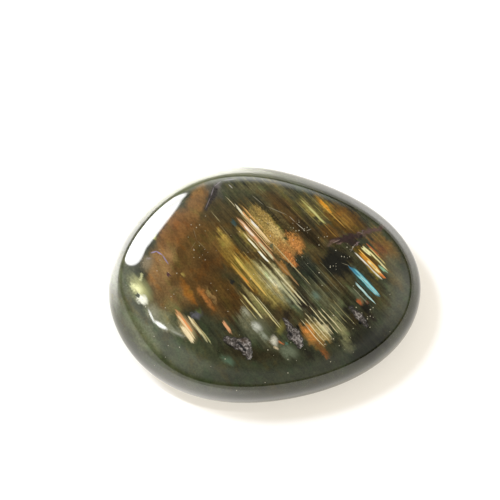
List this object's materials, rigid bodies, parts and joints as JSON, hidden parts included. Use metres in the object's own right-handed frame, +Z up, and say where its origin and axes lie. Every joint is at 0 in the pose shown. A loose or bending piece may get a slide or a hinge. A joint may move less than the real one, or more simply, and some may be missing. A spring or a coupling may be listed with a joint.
{
  "type": "labradorite pebble",
  "caption": "Polished egg-shaped pebble of labradorite, rounded all over, with a small flat underside to lie on and shallow natural pits in its upper face.",
  "frame": {"origin": "on the surface the pebble lies on, under the middle of its box", "axes": "+X towards the narrow end along the length, +Y across the width, +Z up"},
  "size_m": [0.0462, 0.0356, 0.0157],
  "materials": {
    "labradorite": "polished, with a gold, orange and blue sheen inside the stone and rough pale pits"
  },
  "bodies": {
    "root": {"pebble": "labradorite"}
  },
  "joints": []
}
